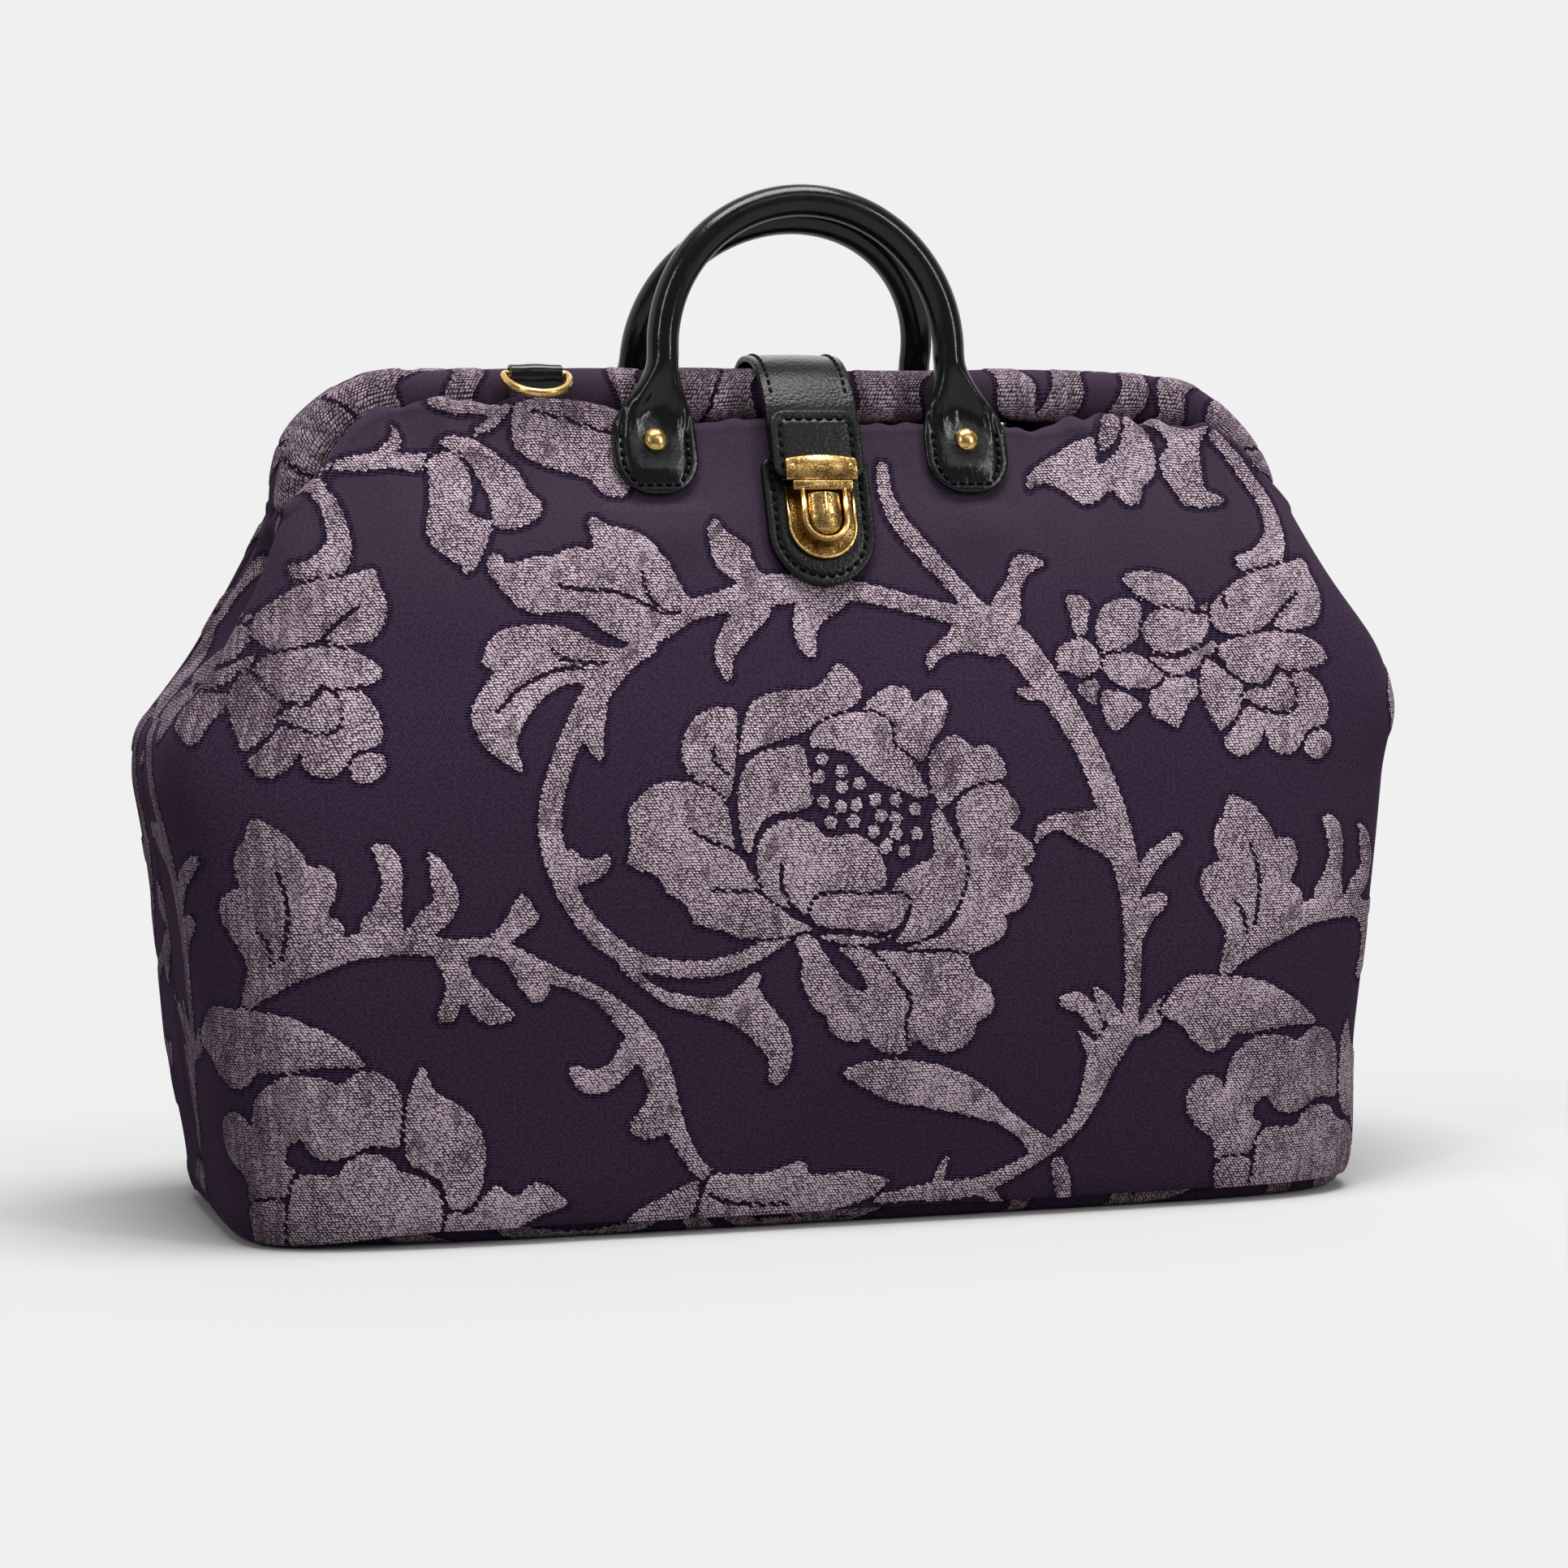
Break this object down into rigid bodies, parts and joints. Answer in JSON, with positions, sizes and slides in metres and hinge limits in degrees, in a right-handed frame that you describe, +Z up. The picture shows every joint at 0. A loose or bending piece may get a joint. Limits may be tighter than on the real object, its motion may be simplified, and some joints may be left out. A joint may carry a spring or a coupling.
{
  "type": "carpet bag",
  "caption": "Soft carpet bag with slanted shoulders on a hinged two-bow mouth, rolled leather handles, a strap with a press lock, and D rings for a shoulder strap.",
  "frame": {"origin": "on the floor, under the middle of the base", "axes": "+X along the width to the right seen from the front, +Y to the back, +Z up"},
  "size_m": [0.4398, 0.1548, 0.3528],
  "materials": {
    "carpet_cloth": "woven pile pattern on a satin ground",
    "black_leather": "semi-gloss, fine grain",
    "antique_brass": "antiqued, worn bright on raised edges",
    "frame_steel": "plain drawn rod",
    "lining_cloth": "plain woven lining",
    "board": "fibre board"
  },
  "bodies": {
    "body": {"base_panel": "carpet_cloth", "base_board": "board", "lining": "lining_cloth", "front_panel": "carpet_cloth", "back_panel": "carpet_cloth", "left_gusset": "carpet_cloth", "right_gusset": "carpet_cloth", "hinge_pins": "antique_brass"},
    "front_bow": {"front_frame": "frame_steel", "front_casing": "carpet_cloth"},
    "back_bow": {"back_frame": "frame_steel", "back_casing": "carpet_cloth"},
    "front_upper": {"front_yoke": "carpet_cloth", "front_left_tab": "black_leather", "front_right_tab": "black_leather", "front_rivets": "antique_brass", "front_washers": "antique_brass", "lock_patch": "black_leather", "lock_body": "antique_brass", "lock_spring": "frame_steel", "lock_backplate": "antique_brass", "front_ring_tab": "black_leather"},
    "back_upper": {"back_yoke": "carpet_cloth", "back_left_tab": "black_leather", "back_right_tab": "black_leather", "back_rivets": "antique_brass", "back_washers": "antique_brass", "strap_anchor": "black_leather", "back_ring_tab": "black_leather"},
    "strap": {"closure_strap": "black_leather", "strap_facing": "black_leather", "clasp_plate": "antique_brass", "clasp_rivets": "antique_brass"},
    "front_handle": {"front_handle": "black_leather"},
    "back_handle": {"back_handle": "black_leather"},
    "button": {"lock_button": "antique_brass"},
    "front_ring": {"front_ring": "antique_brass"},
    "back_ring": {"back_ring": "antique_brass"}
  },
  "joints": [
    {"name": "mouth_front", "type": "hinge", "parent": "body", "child": "front_bow", "pos_m": [0, 0, 0.238], "axis": [1, 0, 0], "range_deg": [0, 45]},
    {"name": "mouth_back", "type": "hinge", "parent": "body", "child": "back_bow", "pos_m": [0, 0, 0.238], "axis": [-1, 0, 0], "range_deg": [0, 45]},
    {"name": "front_wall_lean", "type": "hinge", "parent": "body", "child": "front_upper", "pos_m": [0, -0.0605, 0.168], "axis": [1, 0, 0], "range_deg": [0, 18.45]},
    {"name": "back_wall_lean", "type": "hinge", "parent": "body", "child": "back_upper", "pos_m": [0, 0.0605, 0.168], "axis": [-1, 0, 0], "range_deg": [0, 18.45]},
    {"name": "strap_swing", "type": "hinge", "parent": "back_upper", "child": "strap", "pos_m": [0, 0.0261, 0.273], "axis": [-1, 0, 0], "range_deg": [0, 75]},
    {"name": "front_handle_swing", "type": "hinge", "parent": "front_upper", "child": "front_handle", "pos_m": [0, -0.02447, 0.27061], "axis": [1, 0, 0], "range_deg": [0, 96]},
    {"name": "back_handle_swing", "type": "hinge", "parent": "back_upper", "child": "back_handle", "pos_m": [0, 0.02447, 0.27061], "axis": [-1, 0, 0], "range_deg": [0, 112]},
    {"name": "button_press", "type": "slide", "parent": "front_upper", "child": "button", "axis": [0, 0.9337, -0.3581], "range_m": [0, 0.0018], "stiffness_N_per_m": 600, "springref_m": -0.002, "deforming": ["lock_spring"]},
    {"name": "front_ring_swing", "type": "hinge", "parent": "front_upper", "child": "front_ring", "pos_m": [-0.095, -0.0161, 0.2872], "axis": [-1, 0, 0], "range_deg": [0, 142]},
    {"name": "back_ring_swing", "type": "hinge", "parent": "back_upper", "child": "back_ring", "pos_m": [0.095, 0.0161, 0.2836], "axis": [1, 0, 0], "range_deg": [0, 142]}
  ],
  "couplings": [
    {"joint": "mouth_back", "follows": "mouth_front", "ratio": 1},
    {"joint": "front_wall_lean", "follows": "mouth_front", "ratio": 0.41},
    {"joint": "back_wall_lean", "follows": "mouth_front", "ratio": 0.41},
    {"joint": "strap_swing", "follows": "mouth_front", "ratio": 1.6666}
  ]
}
